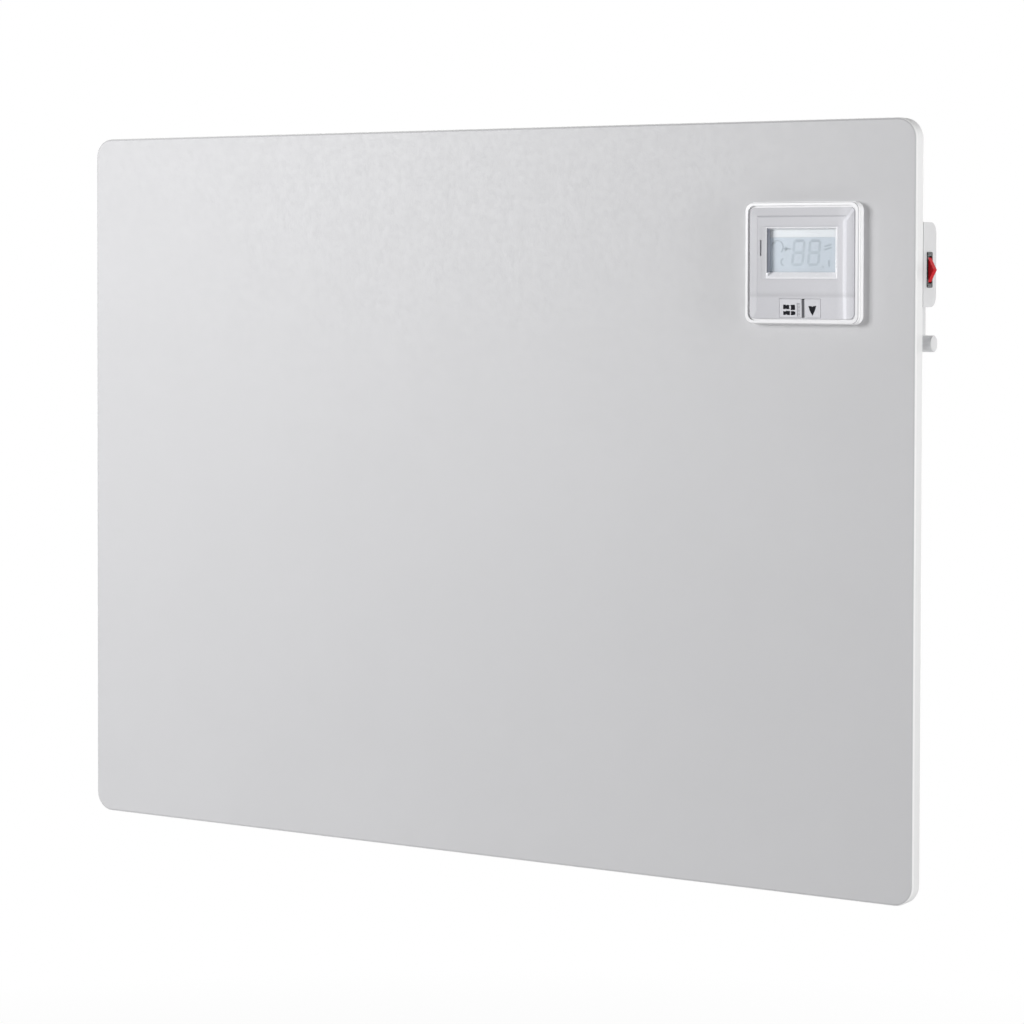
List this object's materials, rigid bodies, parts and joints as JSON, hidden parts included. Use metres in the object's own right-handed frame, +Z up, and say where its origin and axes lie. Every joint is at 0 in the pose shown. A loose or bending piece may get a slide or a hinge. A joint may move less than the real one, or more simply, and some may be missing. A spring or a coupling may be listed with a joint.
{
  "type": "infrared panel heater",
  "caption": "Slim white wall panel heater with rounded corners, a raised square thermostat with a display in its face, and a side rocker switch on a control box behind.",
  "frame": {"origin": "middle of the four wall keyholes, on the wall plane that the brackets lie against", "axes": "+Z up, +X to the right as seen from the room, +Y into the wall, so the heated face looks along -Y"},
  "size_m": [0.805, 0.047, 0.6],
  "materials": {
    "panel_enamel": "satin white powder coat on steel sheet",
    "rear_sheet": "galvanised steel sheet, matt",
    "bracket_sheet": "galvanised folded steel",
    "fixings": "zinc-plated steel",
    "box_plastic": "fine-textured white moulding",
    "rim_plastic": "glossy white moulding",
    "fascia_plastic": "satin silver-grey lacquer on plastic",
    "key_plastic": "satin silver-grey lacquer on plastic",
    "lens_plastic": "clear polished window",
    "display_cell": "pale blue-grey liquid crystal cell",
    "keypad_rubber": "black silicone rubber",
    "switch_black": "black nylon moulding",
    "rocker_red": "glossy red moulding",
    "gland_nylon": "black nylon",
    "contact_brass": "tinned brass",
    "busbar_copper": "plain copper strip",
    "foil_aluminium": "bright aluminium foil",
    "mat_film": "carbon heating film",
    "insulation_wool": "pressed mineral wool board",
    "circuit_board": "glass-fibre circuit board with green mask",
    "relay_case": "blue moulded case",
    "terminal_plastic": "off-white moulded nylon",
    "terminal_green": "green moulded nylon",
    "lead_sleeve": "heat-proof silicone sleeve",
    "earth_sleeve": "green sleeve with a yellow stripe"
  },
  "bodies": {
    "heater": {"front_panel": "panel_enamel", "heating_mat": "mat_film", "busbars": "busbar_copper", "reflector_foil": "foil_aluminium", "insulation_board": "insulation_wool", "rear_cover": "rear_sheet", "cover_screws": "fixings", "bracket_top_left": "bracket_sheet", "bracket_top_right": "bracket_sheet", "bracket_bottom_left": "bracket_sheet", "bracket_bottom_right": "bracket_sheet", "bracket_rivets": "fixings", "element_leads": "lead_sleeve", "control_box": "box_plastic", "box_lid": "box_plastic", "box_screws": "fixings", "lid_screws": "fixings", "terminal_block": "terminal_plastic", "overheat_cutout": "gland_nylon", "switch_body": "switch_black", "switch_tabs": "contact_brass", "switch_leads": "lead_sleeve", "cord_gland": "gland_nylon", "gland_nut": "gland_nylon", "earth_screw": "contact_brass", "earth_lead": "earth_sleeve", "thermostat_base": "rim_plastic", "thermostat_retainer": "bracket_sheet", "base_screws": "fixings", "thermostat_ring": "rim_plastic", "fascia": "fascia_plastic", "display_frame": "rim_plastic", "display_lens": "lens_plastic", "display_module": "display_cell", "control_board": "circuit_board", "keypad": "keypad_rubber", "power_board": "circuit_board", "power_relay": "relay_case", "thermostat_terminals": "terminal_green", "thermostat_leads": "lead_sleeve"},
    "rocker": {"switch_rocker": "rocker_red"},
    "push_cap": {"reset_cap": "box_plastic"},
    "left_key": {"left_button": "key_plastic"},
    "right_key": {"right_button": "key_plastic"}
  },
  "joints": [
    {"name": "rocker_tilt", "type": "hinge", "parent": "heater", "child": "rocker", "pos_m": [0.3965, -0.0142, 0.1847], "axis": [0, 1, 0], "range_deg": [-10, 10]},
    {"name": "cap_push", "type": "slide", "parent": "heater", "child": "push_cap", "axis": [-1, 0, 0], "range_m": [0, 0.0022], "stiffness_N_per_m": 900},
    {"name": "left_key_push", "type": "slide", "parent": "heater", "child": "left_key", "axis": [0, 1, 0], "range_m": [0, 0.0007], "stiffness_N_per_m": 700},
    {"name": "right_key_push", "type": "slide", "parent": "heater", "child": "right_key", "axis": [0, 1, 0], "range_m": [0, 0.0007], "stiffness_N_per_m": 700}
  ]
}
